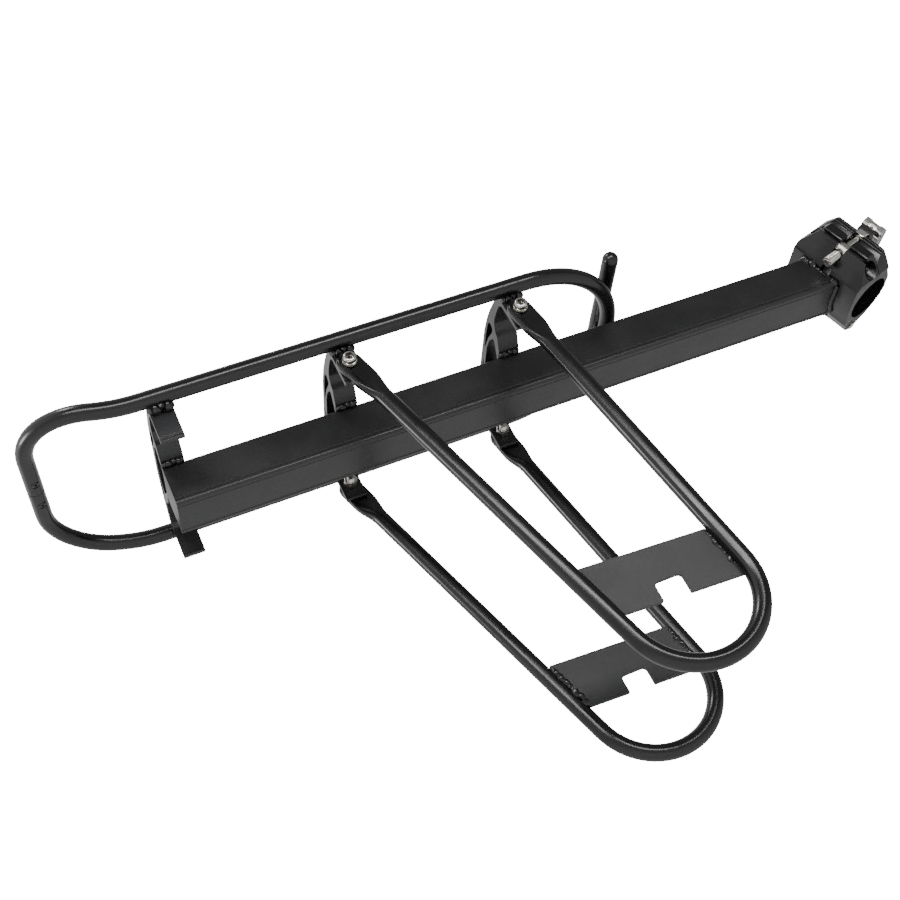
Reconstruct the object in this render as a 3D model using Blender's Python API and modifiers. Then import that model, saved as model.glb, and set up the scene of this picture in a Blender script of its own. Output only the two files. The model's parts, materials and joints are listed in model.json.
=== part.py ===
"""Seatpost-mounted bicycle rear rack with a quick-release clamp.

The frame: +X points forward, +Y to the bicycle's left, +Z up. The origin is the centre of the
seatpost bore, half way up the clamp. Sizes below are in millimetres and are scaled to metres as
each shape is built. The clamp has its own axes U (forward), V (left) and W (up the seatpost).
"""

from math import asin, atan2, cos, hypot, pi, radians, sin, tan

import bmesh
import bpy
from mathutils import Matrix, Vector

MM = 0.001
GAP = 0.3                       # kept between pieces that touch

# Beam
BEAM_WIDTH = 32.0
BEAM_HEIGHT = 27.5
BEAM_AXIS_Z = -3.8
BEAM_REAR_X = -460.0
BEAM_WALL = 2.2
BEAM_EDGE = 2.0
BEAM_TOP_Z = BEAM_AXIS_Z + BEAM_HEIGHT / 2

# Deck loop, bent from round tube
TUBE_R = 5.0
TUBE_WALL = 1.8
RAIL_Y = 67.0
RAIL_Z = 19.5
DECK_FRONT_X = -164.9
DECK_FRONT_BEND = 65.0
DECK_KINK_X = -476.6
DECK_TAIL = 54.4                # from the kink to the rear tube, along the raised tail
DECK_TAIL_BEND = 39.4
DECK_TAIL_RISE = radians(15.4)
SEAM_Y = 1.0                    # where the loop's two ends meet
SEAM_SCREW = 10.5               # from the seam to each joint screw
SCREW_TURN = radians(168)       # the joint screws come in from just ahead of straight below

# Luggage stop, a bar that lies across the front of the deck
STOP_X = -164.5
STOP_Z = RAIL_Z + 2 * TUBE_R + GAP
STOP_HALF = 55.0

# Cross brackets
BRACKET_X = {"rear_bracket": -453.25, "middle_bracket": -347.0, "front_bracket": -240.4}
BRACKET_HALF = 6.75
FLANGE_OUT = 61.3
FLANGE_IN = 58.3
FLANGE_BOTTOM = -6.35
CROWN_Z = 31.2

# Guard loops and their bolts
BOLT_Z = 4.25
REAR_BOLT_X = BRACKET_X["middle_bracket"]
FRONT_BOLT_X = BRACKET_X["front_bracket"]
BOLT_R = 2.5
HOLE_R = 2.8
HEAD_R = 3.8
HEAD_HIGH = 4.0
WASHER_R = 4.4
REAR_LEG = radians(17.86)       # forward of straight down
LOOP_BEND = 38.8
LOOP_DROP = 238.25              # from the bolts to the loop's lowest centreline
SPADE_HALF_WIDTH = 7.5
SPADE_HALF_THICK = 1.85
SPADE_Y = FLANGE_OUT + GAP + SPADE_HALF_THICK
SPADE_LENGTH = 13.0             # from the bolt to where the flat begins to fade
SPADE_FADE = 17.0
LOOP_LEAN = 6.8                 # how far the foot of the loop leans inboard

# The bend's centre, one bend radius inside the rear leg, and the front leg that meets the bend
LOOP_CENTRE = (
    REAR_BOLT_X + LOOP_BEND / cos(REAR_LEG) + (LOOP_DROP - LOOP_BEND) * tan(REAR_LEG),
    BOLT_Z - (LOOP_DROP - LOOP_BEND),
)
FRONT_REACH = (LOOP_CENTRE[0] - FRONT_BOLT_X, LOOP_DROP - LOOP_BEND)
FRONT_LEG = atan2(*FRONT_REACH) + asin(LOOP_BEND / hypot(*FRONT_REACH))

# Guard plates, edge-welded between a loop's legs
PLATE_HALF_THICK = 1.2
PLATE_INBOARD = 3.6             # from the tube's centreline to the plate's
PLATE_TOP_REAR_Z = -160.0
PLATE_TOP_FRONT_Z = -164.0
PLATE_BOTTOM_REAR_Z = -192.5
PLATE_BOTTOM_FRONT_Z = -196.0
PLATE_EDGE = 5.2                # from a leg's centreline to the plate's edge
NOTCH_REAR_X = -254.0
NOTCH_FRONT_X = -238.0
NOTCH_TOP_Z = -182.6
NOTCH_CORNER = 2.5

# Clamp, in its own axes
SEAT_TUBE_LEAN = radians(17.0)
CLAMP_HALF = 26.5
BORE_R = 15.8
EAR_HALF = 18.0
SLOT_HALF = 3.65
BARREL = (-5.5, -27.0)          # the swing bolt's pivot, (u, v)
BARREL_R = 4.6
BARREL_HALF = 15.5
HINGE = (-8.2, 21.5)            # the gate's pivot, (u, v)
HINGE_R = 2.2
KNUCKLE_HALF = 13.0
SWING_BOLT_R = 3.0
SWING_BOLT_TAIL = 17.1
CAM_U = 26.0                    # the cam pin, straight ahead of the barrel
CAM_PIN_R = 2.0
LEVER_HALF = 7.4
LOBE_R = 4.3
EYE_HALF = 3.0
WASHER_U = 13.2                 # the cam washer's back, clear of the gate's front

CLAMP_FRAME = Matrix((
    (cos(SEAT_TUBE_LEAN), 0.0, -sin(SEAT_TUBE_LEAN), 0.0),
    (0.0, 1.0, 0.0, 0.0),
    (sin(SEAT_TUBE_LEAN), 0.0, cos(SEAT_TUBE_LEAN), 0.0),
    (0.0, 0.0, 0.0, 1.0),
))
ACROSS = Matrix(((0, 0, 1, 0), (1, 0, 0, 0), (0, 1, 0, 0), (0, 0, 0, 1)))    # outline in Y, Z
ALONG = Matrix(((1, 0, 0, 0), (0, 0, -1, 0), (0, 1, 0, 0), (0, 0, 0, 1)))    # outline in X, Z
TO_Y = Matrix.Rotation(radians(-90), 4, "X")                                 # +Z turned to +Y


# ---------------------------------------------------------------- scene, finishes and placing

def start():
    for old in list(bpy.data.objects):
        bpy.data.objects.remove(old, do_unlink=True)
    made = []
    for name in ("seatpost_rear_rack", "cutters"):
        collection = bpy.data.collections.new(name)
        bpy.context.scene.collection.children.link(collection)
        made.append(collection)
    return made


RACK, CUTTERS = start()


def finish(name, colour, roughness, metallic):
    material = bpy.data.materials.new(name)
    material.use_nodes = True
    shader = material.node_tree.nodes["Principled BSDF"]
    shader.inputs["Base Color"].default_value = (*colour, 1.0)
    shader.inputs["Roughness"].default_value = roughness
    shader.inputs["Metallic"].default_value = metallic
    return material


FINISHES = {
    "black": lambda name: finish(name, (0.012, 0.012, 0.013), 0.42, 0.0),
    "anodised": lambda name: finish(name, (0.020, 0.020, 0.022), 0.38, 0.6),
    "chrome": lambda name: finish(name, (0.60, 0.59, 0.57), 0.18, 1.0),
    "steel": lambda name: finish(name, (0.45, 0.45, 0.44), 0.30, 1.0),
    "plastic": lambda name: finish(name, (0.010, 0.010, 0.010), 0.55, 0.0),
}


def place(name, mesh, kind, frame=None, at=(0.0, 0.0, 0.0)):
    """Put a mesh in the rack under its own finish, or among the cutters if it has none."""
    thing = bpy.data.objects.new(name, mesh)
    (RACK if kind else CUTTERS).objects.link(thing)
    thing.matrix_world = (frame or Matrix()) @ Matrix.Translation(Vector(at) * MM)
    if kind:
        mesh.materials.append(FINISHES[kind](name))
    else:
        thing.hide_render = True
        thing.display_type = "WIRE"
    return thing


def mesh_from(name, bm):
    bmesh.ops.recalc_face_normals(bm, faces=bm.faces)
    mesh = bpy.data.meshes.new(name)
    bm.to_mesh(mesh)
    bm.free()
    mesh.shade_smooth()
    mesh.set_sharp_from_angle(angle=radians(35))
    return mesh


def mesh_from_curve(name, curve):
    """Turn a curve into a mesh with its caps welded on."""
    drawn = bpy.data.objects.new(name, curve)
    bpy.context.scene.collection.objects.link(drawn)
    bpy.context.view_layer.update()
    evaluated = drawn.evaluated_get(bpy.context.evaluated_depsgraph_get())
    mesh = bpy.data.meshes.new_from_object(evaluated)
    bpy.data.objects.remove(drawn)
    bm = bmesh.new()
    bm.from_mesh(mesh)
    bpy.data.meshes.remove(mesh)
    bmesh.ops.remove_doubles(bm, verts=bm.verts, dist=0.00002)
    return mesh_from(name, bm)


# ---------------------------------------------------------------- shapes

def slab(name, outline, half, kind, frame=None, at=(0.0, 0.0, 0.0), holes=()):
    """A flat outline, thickened both ways from its plane."""
    curve = bpy.data.curves.new(name, "CURVE")
    curve.dimensions = "2D"
    curve.fill_mode = "BOTH"
    curve.extrude = half * MM
    for loop in (outline, *holes):
        spline = curve.splines.new("POLY")
        spline.points.add(len(loop) - 1)
        spline.use_cyclic_u = True
        for point, (x, y) in zip(spline.points, loop):
            point.co = (x * MM, y * MM, 0.0, 1.0)
    return place(name, mesh_from_curve(name, curve), kind, frame, at)


def rod(name, radius, low, high, kind, frame=None, at=(0.0, 0.0, 0.0), sides=16):
    """A round bar along its own Z from low to high."""
    bm = bmesh.new()
    bmesh.ops.create_cone(bm, cap_ends=True, segments=sides, radius1=radius * MM,
                          radius2=radius * MM, depth=(high - low) * MM)
    bmesh.ops.translate(bm, verts=bm.verts, vec=(0.0, 0.0, (low + high) / 2 * MM))
    return place(name, mesh_from(name, bm), kind, frame, at)


def box(name, low, high, kind, frame=None, at=(0.0, 0.0, 0.0), edge=0.0):
    bm = bmesh.new()
    bmesh.ops.create_cube(bm, size=1.0)
    size = [(h - l) * MM for l, h in zip(low, high)]
    middle = [(h + l) / 2 * MM for l, h in zip(low, high)]
    bmesh.ops.scale(bm, verts=bm.verts, vec=size)
    bmesh.ops.translate(bm, verts=bm.verts, vec=middle)
    thing = place(name, mesh_from(name, bm), kind, frame, at)
    if edge:
        bevel = thing.modifiers.new("edges", "BEVEL")
        bevel.width = edge * MM
        bevel.segments = 2
        bevel.limit_method = "NONE"
    return thing


def turned(name, profile, kind, frame=None, at=(0.0, 0.0, 0.0), sides=16, closed=False):
    """A profile of (radius, height), top to bottom on the outside, turned about Z."""
    bm = bmesh.new()
    points = [bm.verts.new((r * MM, 0.0, z * MM)) for r, z in profile]
    for first, second in zip(points, points[1:]):
        bm.edges.new((first, second))
    if closed:
        bm.edges.new((points[-1], points[0]))
    mesh = bpy.data.meshes.new(name)
    bm.to_mesh(mesh)
    bm.free()
    thing = place(name, mesh, kind, frame, at)
    screw = thing.modifiers.new("turn", "SCREW")
    screw.angle = 2 * pi
    screw.steps = sides
    screw.render_steps = sides
    screw.use_merge_vertices = True
    screw.merge_threshold = 0.00001
    screw.use_smooth_shade = False
    return thing


def tube_mesh(name, path, radius, capped):
    """Round tube through the path's points, (x, y, z)."""
    curve = bpy.data.curves.new(name, "CURVE")
    curve.dimensions = "3D"
    curve.bevel_depth = radius * MM
    curve.bevel_resolution = 4
    curve.use_fill_caps = capped
    spline = curve.splines.new("POLY")
    spline.points.add(len(path) - 1)
    for point, (x, y, z) in zip(spline.points, path):
        point.co = (x * MM, y * MM, z * MM, 1.0)
    return mesh_from_curve(name, curve)


def cut(thing, cutter, operation="DIFFERENCE"):
    modifier = thing.modifiers.new(cutter.name, "BOOLEAN")
    modifier.operation = operation
    modifier.solver = "EXACT"
    modifier.object = cutter


def arc(centre, radius, start, end, steps):
    """Points on an arc; angles in degrees."""
    turn = [radians(start + (end - start) * i / steps) for i in range(steps + 1)]
    return [(centre[0] + radius * cos(a), centre[1] + radius * sin(a)) for a in turn]


def mirrored(points):
    """The points and then their mirror images in Y, so that they close round the middle."""
    return points + [(-y, z) for y, z in reversed(points)]


# ---------------------------------------------------------------- beam

def build_beam():
    bottom = BEAM_TOP_Z - BEAM_HEIGHT
    half = BEAM_WIDTH / 2
    outline = [(-half + BEAM_EDGE, bottom), (half - BEAM_EDGE, bottom),
               (half, bottom + BEAM_EDGE), (half, BEAM_TOP_Z - BEAM_EDGE),
               (half - BEAM_EDGE, BEAM_TOP_Z), (-half + BEAM_EDGE, BEAM_TOP_Z),
               (-half, BEAM_TOP_Z - BEAM_EDGE), (-half, bottom + BEAM_EDGE)]
    inner = half - BEAM_WALL
    bore = [(-inner, bottom + BEAM_WALL), (inner, bottom + BEAM_WALL),
            (inner, BEAM_TOP_Z - BEAM_WALL), (-inner, BEAM_TOP_Z - BEAM_WALL)]
    length = -10.0 - BEAM_REAR_X
    beam = slab("main_beam", outline, length / 2, "black", ACROSS,
                (0.0, 0.0, BEAM_REAR_X + length / 2), holes=[bore])
    nose = [(u - GAP, v * 1.02) for u, v in BASE_REAR] + [(30.0, 30.0), (30.0, -30.0)]
    cut(beam, slab("beam_mitre", nose, 45.0, None, CLAMP_FRAME))

    plug_y = inner - GAP
    low = bottom + BEAM_WALL + GAP
    high = BEAM_TOP_Z - BEAM_WALL - GAP
    plug = box("beam_end_plug", (BEAM_REAR_X, -plug_y, low), (BEAM_REAR_X + 12.0, plug_y, high),
               "plastic")
    hollow = box("plug_hollow", (BEAM_REAR_X + 2.0, -plug_y + 2.0, low + 2.0),
                 (BEAM_REAR_X + 20.0, plug_y - 2.0, high - 2.0), None)
    cut(plug, hollow)


# ---------------------------------------------------------------- deck

def deck_path():
    """The deck loop's centreline from one side of the seam round to the other."""
    tail_x = DECK_KINK_X - DECK_TAIL
    tail = (tail_x + DECK_TAIL_BEND, RAIL_Y - DECK_TAIL_BEND)
    front = (DECK_FRONT_X - DECK_FRONT_BEND, RAIL_Y - DECK_FRONT_BEND)
    flat = [(tail_x, SEAM_Y + GAP / 2)]
    flat += arc(tail, DECK_TAIL_BEND, 180, 90, 8)
    flat += [(DECK_KINK_X, RAIL_Y), (-400.0, RAIL_Y)]
    flat += arc(front, DECK_FRONT_BEND, 90, 0, 11)
    flat += arc((front[0], -front[1]), DECK_FRONT_BEND, 0, -90, 11)
    flat += [(-400.0, -RAIL_Y), (DECK_KINK_X, -RAIL_Y)]
    flat += arc((tail[0], -tail[1]), DECK_TAIL_BEND, -90, -180, 8)
    flat += [(tail_x, SEAM_Y - GAP / 2)]
    path = []
    for x, y in flat:
        back = max(0.0, DECK_KINK_X - x)
        path.append((x + back * (1 - cos(DECK_TAIL_RISE)), y,
                     RAIL_Z + back * sin(DECK_TAIL_RISE)))
    return path


def build_deck():
    loop = place("deck_loop", tube_mesh("deck_loop", deck_path(), TUBE_R, False), "black")
    wall = loop.modifiers.new("wall", "SOLIDIFY")
    wall.thickness = TUBE_WALL * MM
    wall.offset = -1.0

    tail_x = DECK_KINK_X - DECK_TAIL * cos(DECK_TAIL_RISE)
    tail_z = RAIL_Z + DECK_TAIL * sin(DECK_TAIL_RISE)
    seam = Matrix.Translation(Vector((tail_x, SEAM_Y, tail_z)) * MM)
    inner = TUBE_R - TUBE_WALL - GAP
    plug = rod("deck_joint_plug", inner, -18.0, 18.0, "steel", seam @ TO_Y, sides=12)
    from_below = seam @ Matrix.Rotation(SCREW_TURN, 4, "Y")
    for name, y in (("left_joint_screw", SEAM_SCREW), ("right_joint_screw", -SEAM_SCREW)):
        hole = rod(name + "_hole", 1.8, -1.8, 9.0, None, from_below, (0.0, y, 0.0), sides=12)
        cut(loop, hole)
        cut(plug, hole)
        profile = [(0.0, 6.4), (1.9, 6.2), (2.5, 5.5), (2.5, 5.2), (1.5, 5.2), (1.5, -1.2),
                   (0.0, -1.2)]
        turned(name, profile, "steel", from_below, (0.0, y, 0.0), sides=12)


def build_stop():
    end = STOP_HALF - TUBE_R
    frame = Matrix.Translation(Vector((STOP_X, 0.0, STOP_Z)) * MM) @ TO_Y
    profile = [(TUBE_R, end), (TUBE_R, -end), (TUBE_R - TUBE_WALL, -end),
               (TUBE_R - TUBE_WALL, end)]
    turned("luggage_stop_bar", profile, "black", frame, sides=16, closed=True)
    inner = TUBE_R - TUBE_WALL - GAP
    dome = [(TUBE_R * sin(a), GAP + (TUBE_R - GAP) * cos(a))
            for a in [radians(18 * i) for i in range(6)]]
    dome[0] = (0.0, TUBE_R)
    cap = dome + [(inner, GAP), (inner, -9.0), (0.0, -9.0)]
    for name, side in (("left_stop_cap", 1), ("right_stop_cap", -1)):
        flip = Matrix.Rotation(0 if side > 0 else pi, 4, "X")
        turned(name, cap, "plastic", frame @ flip, (0.0, 0.0, end), sides=16)


# ---------------------------------------------------------------- cross brackets

def bracket_outlines():
    """One side of the extruded bracket, seen from the rear, and its crown's inner slot."""
    foot = BEAM_TOP_Z + GAP
    side = [(19.0, CROWN_Z), (32.0, 29.6), (42.0, 27.3), (50.0, 24.8), (57.0, 22.4),
            (FLANGE_OUT, 20.4), (FLANGE_OUT, FLANGE_BOTTOM), (FLANGE_IN, FLANGE_BOTTOM),
            (FLANGE_IN, 14.2), (55.6, 17.0), (50.4, 18.6), (41.0, 20.4), (36.2, 20.2),
            (31.5, 17.8), (29.6, 14.6), (19.6, foot), (11.0, foot), (22.6, 17.4),
            (23.4, 19.2), (16.5, 23.4), (8.0, 25.3)]
    slot = [(5.0, 28.2), (18.0, 28.3), (28.6, 27.4), (31.2, 26.0), (31.6, 23.6), (29.4, 21.2),
            (26.6, 21.4), (17.6, 25.1), (9.0, 27.0)]
    return side, slot


def build_brackets():
    side, slot = bracket_outlines()
    other_slot = [(-y, z) for y, z in slot]
    for name, x in BRACKET_X.items():
        bracket = slab(name, mirrored(side), BRACKET_HALF, "anodised", ACROSS, (0.0, 0.0, x),
                       holes=[slot, other_slot])
        if x != BRACKET_X["rear_bracket"]:
            cut(bracket, BOLT_HOLES[x])


# ---------------------------------------------------------------- guards

def leg_point(bolt_x, angle, distance):
    return (bolt_x + distance * sin(angle), BOLT_Z - distance * cos(angle))


def guard_y(z):
    """How far out the loop's centreline is at a height, once its spades have ended."""
    top = BOLT_Z - SPADE_LENGTH
    return SPADE_Y - LOOP_LEAN * max(0.0, top - z) / (LOOP_DROP - SPADE_LENGTH)


def guard_stations():
    """Points down one leg, round the bend and up the other: (x, z, flatness, width factor)."""
    def spade(bolt_x, angle):
        tip = SPADE_HALF_WIDTH
        near = [(-tip * cos(a), sin(a)) for a in [radians(d) for d in (8, 25, 45, 68)]]
        run = [(d, 1.0, w) for d, w in near] + [(0.0, 1.0, 1.0), (SPADE_LENGTH, 1.0, 1.0)]
        run += [(SPADE_LENGTH + SPADE_FADE * i / 4, 1.0 - i / 4, 1.0) for i in range(1, 5)]
        return [(*leg_point(bolt_x, angle, d), flat, w) for d, flat, w in run]

    start = 180 + REAR_LEG * 180 / pi
    end = 360 + FRONT_LEG * 180 / pi
    bend = [(x, z, 0.0, 1.0) for x, z in arc(LOOP_CENTRE, LOOP_BEND, start, end, 15)]
    return spade(REAR_BOLT_X, REAR_LEG) + bend + spade(FRONT_BOLT_X, FRONT_LEG)[::-1]


def guard_ring(bm, place_at, along, flat, width, side, sides=12):
    """One cross-section: a circle where flat is 0, and a rounded flat bar where it is 1."""
    inboard = Vector((0.0, -side, 0.0))
    inboard = (inboard - along * inboard.dot(along)).normalized()
    across = along.cross(inboard)
    half_wide = (TUBE_R + (SPADE_HALF_WIDTH - TUBE_R) * flat) * width
    half_thick = TUBE_R + (SPADE_HALF_THICK - TUBE_R) * flat
    power = 1.0 - 0.6 * flat
    ring = []
    for i in range(sides):
        a = 2 * pi * (i + 0.5) / sides
        wide = half_wide * abs(cos(a)) ** power * (1 if cos(a) > 0 else -1)
        thick = half_thick * abs(sin(a)) ** power * (1 if sin(a) > 0 else -1)
        ring.append(bm.verts.new((place_at + across * wide + inboard * thick) * MM))
    return ring


def build_guard_loop(name, side):
    """A loft, because the section changes from round tube to a flattened spade."""
    stations = guard_stations()
    points = [Vector((x, side * guard_y(z), z)) for x, z, flat, width in stations]
    bm = bmesh.new()
    rings = []
    for i, (x, z, flat, width) in enumerate(stations):
        before = points[max(0, i - 1)]
        after = points[min(len(points) - 1, i + 1)]
        along = (after - before).normalized()
        rings.append(guard_ring(bm, points[i], along, flat, width, side))
    for first, second in zip(rings, rings[1:]):
        for i in range(len(first)):
            j = (i + 1) % len(first)
            bm.faces.new((first[i], first[j], second[j], second[i]))
    bm.faces.new(rings[0])
    bm.faces.new(rings[-1])
    loop = place(name, mesh_from(name, bm), "black")
    for x in (REAR_BOLT_X, FRONT_BOLT_X):
        cut(loop, BOLT_HOLES[x])


def plate_outline():
    """The guard plate in (x, z), from its top rear corner clockwise from outside."""
    def edge_x(bolt_x, angle, z, side):
        return bolt_x + (BOLT_Z - z) * tan(angle) + side * PLATE_EDGE / cos(angle)

    def rear(z):
        return edge_x(REAR_BOLT_X, REAR_LEG, z, 1)

    def front(z):
        return edge_x(FRONT_BOLT_X, FRONT_LEG, z, -1)

    def bottom_z(x):
        reach = (x - bottom_rear) / (bottom_front - bottom_rear)
        return PLATE_BOTTOM_REAR_Z + (PLATE_BOTTOM_FRONT_Z - PLATE_BOTTOM_REAR_Z) * reach

    bottom_rear = rear(PLATE_BOTTOM_REAR_Z)
    bottom_front = front(PLATE_BOTTOM_FRONT_Z)
    top = NOTCH_TOP_Z - NOTCH_CORNER
    notch = arc((NOTCH_FRONT_X - NOTCH_CORNER, top), NOTCH_CORNER, 0, 90, 3)
    notch += arc((NOTCH_REAR_X + NOTCH_CORNER, top), NOTCH_CORNER, 90, 180, 3)
    return [
        (rear(PLATE_TOP_REAR_Z), PLATE_TOP_REAR_Z),
        (front(PLATE_TOP_FRONT_Z), PLATE_TOP_FRONT_Z),
        (front(PLATE_BOTTOM_FRONT_Z + 5.0), PLATE_BOTTOM_FRONT_Z + 5.0),
        (bottom_front - 2.2, PLATE_BOTTOM_FRONT_Z),
        (NOTCH_FRONT_X, bottom_z(NOTCH_FRONT_X)),
        *notch,
        (NOTCH_REAR_X, bottom_z(NOTCH_REAR_X)),
        (bottom_rear, PLATE_BOTTOM_REAR_Z),
    ]


def build_guards():
    lean = atan2(LOOP_LEAN, LOOP_DROP - SPADE_LENGTH)
    middle_z = (PLATE_TOP_REAR_Z + PLATE_BOTTOM_FRONT_Z) / 2
    for word, side in (("right", -1), ("left", 1)):
        build_guard_loop(word + "_guard_loop", side)
        at = Matrix.Translation(Vector((0.0, side * (guard_y(middle_z) - PLATE_INBOARD),
                                        middle_z)) * MM)
        frame = at @ Matrix.Rotation(side * -lean, 4, "X") @ ALONG
        outline = [(x, z - middle_z) for x, z in plate_outline()]
        slab(word + "_guard_plate", outline, PLATE_HALF_THICK, "black", frame)


def build_guard_fasteners():
    washer_low = SPADE_Y + SPADE_HALF_THICK + 0.2
    head_low = washer_low + 1.0 + 0.2
    nut_high = FLANGE_IN - GAP
    for row, x in (("rear", REAR_BOLT_X), ("front", FRONT_BOLT_X)):
        for word, side in (("right", -1), ("left", 1)):
            turn = Matrix.Rotation(radians(-90 * side), 4, "X")
            frame = Matrix.Translation(Vector((x, 0.0, BOLT_Z)) * MM) @ turn
            label = word + "_" + row
            profile = [(0.0, head_low + HEAD_HIGH), (HEAD_R - 0.5, head_low + HEAD_HIGH),
                       (HEAD_R, head_low + HEAD_HIGH - 0.5), (HEAD_R, head_low),
                       (BOLT_R, head_low), (BOLT_R, 50.8), (2.0, 50.3), (0.0, 50.3)]
            bolt = turned(label + "_guard_bolt", profile, "steel", frame, sides=16)
            cut(bolt, rod(label + "_socket", 2.1, head_low + 2.0, 90.0, None, frame, sides=6))
            ring = [(WASHER_R, washer_low + 1.0), (WASHER_R, washer_low),
                    (HOLE_R, washer_low), (HOLE_R, washer_low + 1.0)]
            turned(label + "_spring_washer", ring, "steel", frame, sides=16, closed=True)
            nut = rod(label + "_guard_nut", 4.62, nut_high - 4.4, nut_high, "steel", frame,
                      sides=6)
            cut(nut, rod(label + "_thread", 2.65, 40.0, 70.0, None, frame, sides=16))


# ---------------------------------------------------------------- clamp

BASE_REAR = [(-20.0, -18.0), (-20.0, 2.0), (-17.7, 10.0), (-17.2, 15.8), (-14.2, 22.2)]


def build_clamp_tools():
    bore = rod("seatpost_bore", BORE_R, -60.0, 60.0, None, CLAMP_FRAME, sides=48)
    barrel = rod("barrel_bore", BARREL_R + 0.15, -60.0, 60.0, None, CLAMP_FRAME, (*BARREL, 0.0))
    hinge = rod("hinge_bore", HINGE_R + 0.12, -60.0, 60.0, None, CLAMP_FRAME, (*HINGE, 0.0))
    # The ears' outer corners are planed off above and below.
    to_v = CLAMP_FRAME @ ACROSS
    planes = []
    for word, up in (("top", 1), ("bottom", -1)):
        wedge = [(-22.0, up * (CLAMP_HALF + 0.01)), (-33.5, up * EAR_HALF), (-40.0, up * 13.2),
                 (-50.0, up * 13.2), (-50.0, up * 40.0), (-22.0, up * 40.0)]
        planes.append(slab(word + "_ear_plane", wedge, 60.0, None, to_v))
    return bore, barrel, hinge, planes


def build_clamp_base():
    bore, barrel, hinge, planes = CLAMP_TOOLS
    outline = [(0.9, -33.9), (0.9, -10.0), (-6.0, 5.0), (-6.0, 15.9), (-9.9, 16.0)]
    outline += BASE_REAR[::-1]
    outline += [(-17.5, -21.5), (-8.7, -33.3), (-7.2, -32.9), (-5.6, -34.4), (0.3, -34.3)]
    base = slab("clamp_base", outline, CLAMP_HALF, "anodised", CLAMP_FRAME)
    knuckle = [(-15.0, 17.0), (-15.0, 20.0), (-13.0, 24.0), (-10.4, 25.5), (-8.0, 25.9),
               (-5.6, 25.0), (-4.2, 23.2), (-3.8, 21.2), (-4.4, 19.0), (-5.4, 16.6), (-9.9, 15.0)]
    cut(base, slab("base_knuckle", knuckle, KNUCKLE_HALF, None, CLAMP_FRAME), "UNION")
    cut(base, bore)
    for plane in planes:
        cut(base, plane)
    # The slot is deep enough behind the barrel for the bolt's tail to swing in it.
    slot = [(10.0, -60.0), (10.0, -22.4), (-5.0, -22.4), (-16.5, -10.9), (-26.0, -10.9),
            (-26.0, -60.0)]
    cut(base, slab("base_slot", slot, SLOT_HALF, None, CLAMP_FRAME))
    cut(base, barrel)
    cut(base, hinge)


def build_clamp_gate():
    bore, barrel, hinge, planes = CLAMP_TOOLS
    outline = [(1.5, -12.0), (1.5, -27.5), (6.2, -31.0), (11.3, -32.4), (11.8, -27.0),
               (11.3, -20.0), (16.6, -10.3), (18.1, 0.7), (16.6, 7.4), (12.0, 13.6),
               (6.0, 18.9), (-0.9, 22.3), (-6.9, 26.2), (-13.6, 23.2), (-13.2, 22.3),
               (-9.4, 16.4), (-5.6, 16.3), (-5.6, 8.0)]
    gate = slab("clamp_gate", outline, CLAMP_HALF, "anodised", CLAMP_FRAME, HINGE_AT)
    shift = Matrix.Translation(Vector(HINGE_AT) * -MM)
    gate.data.transform(shift)
    cut(gate, bore)
    for plane in planes:
        cut(gate, plane)
    cut(gate, box("gate_slot", (-5.0, -60.0, -SLOT_HALF), (30.0, -21.4, SLOT_HALF), None,
                  CLAMP_FRAME))
    clear = KNUCKLE_HALF + GAP
    cut(gate, box("gate_knuckle_gap", (-40.0, 5.0, -clear), (-3.2, 40.0, clear), None,
                  CLAMP_FRAME))
    cut(gate, hinge)

    half = CLAMP_HALF
    profile = [(0.0, half + 0.2), (HINGE_R, half + 0.2), (HINGE_R, -half - 0.3),
               (2.6, -half - 0.3), (2.6, -half - 0.9), (1.9, -half - 1.2), (0.0, -half - 1.2)]
    turned("hinge_pin", profile, "steel", CLAMP_FRAME, (*HINGE, 0.0), sides=16)


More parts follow.
